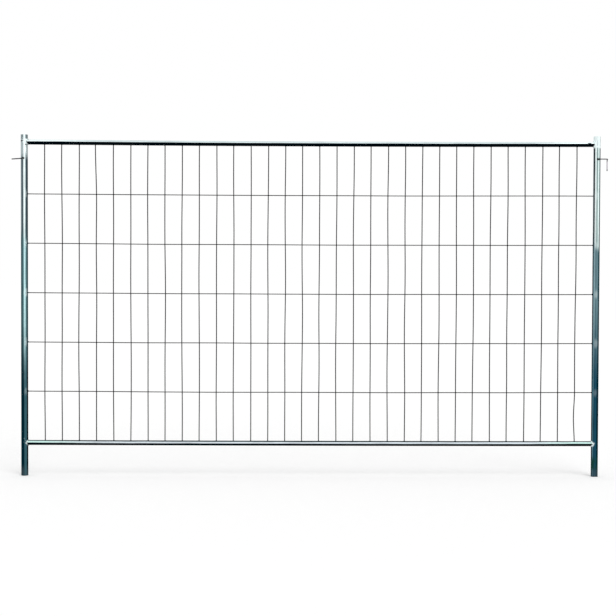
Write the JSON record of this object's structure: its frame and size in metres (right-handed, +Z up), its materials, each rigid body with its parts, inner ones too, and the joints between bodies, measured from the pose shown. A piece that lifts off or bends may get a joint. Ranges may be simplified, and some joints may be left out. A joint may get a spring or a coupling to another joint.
{
  "type": "temporary fence panel",
  "caption": "Galvanised steel temporary fence panel: round posts and rails frame a welded wire mesh, with a coupling eye on the left post and a hook on the right post.",
  "frame": {"origin": "centre of the left post's open bottom end, on the post's axis", "axes": "+X along the panel from the left post to the right post, +Z up along the posts, -Y the front that the picture shows"},
  "size_m": [3.5999, 0.054, 2.063],
  "materials": {
    "galvanised_tube": "satin",
    "mesh_wire": "satin",
    "coupling_bar": "satin",
    "zinc_coated_weld": "matte"
  },
  "bodies": {
    "root": {"left_post": "galvanised_tube", "right_post": "galvanised_tube", "bottom_rail": "galvanised_tube", "top_rail": "galvanised_tube", "wire_mesh": "mesh_wire", "top_left_weld": "zinc_coated_weld", "bottom_left_weld": "zinc_coated_weld", "top_right_weld": "zinc_coated_weld", "bottom_right_weld": "zinc_coated_weld", "coupling_eye": "coupling_bar", "coupling_hook": "coupling_bar", "eye_front_weld": "zinc_coated_weld", "eye_back_weld": "zinc_coated_weld", "hook_weld": "zinc_coated_weld"}
  },
  "joints": []
}
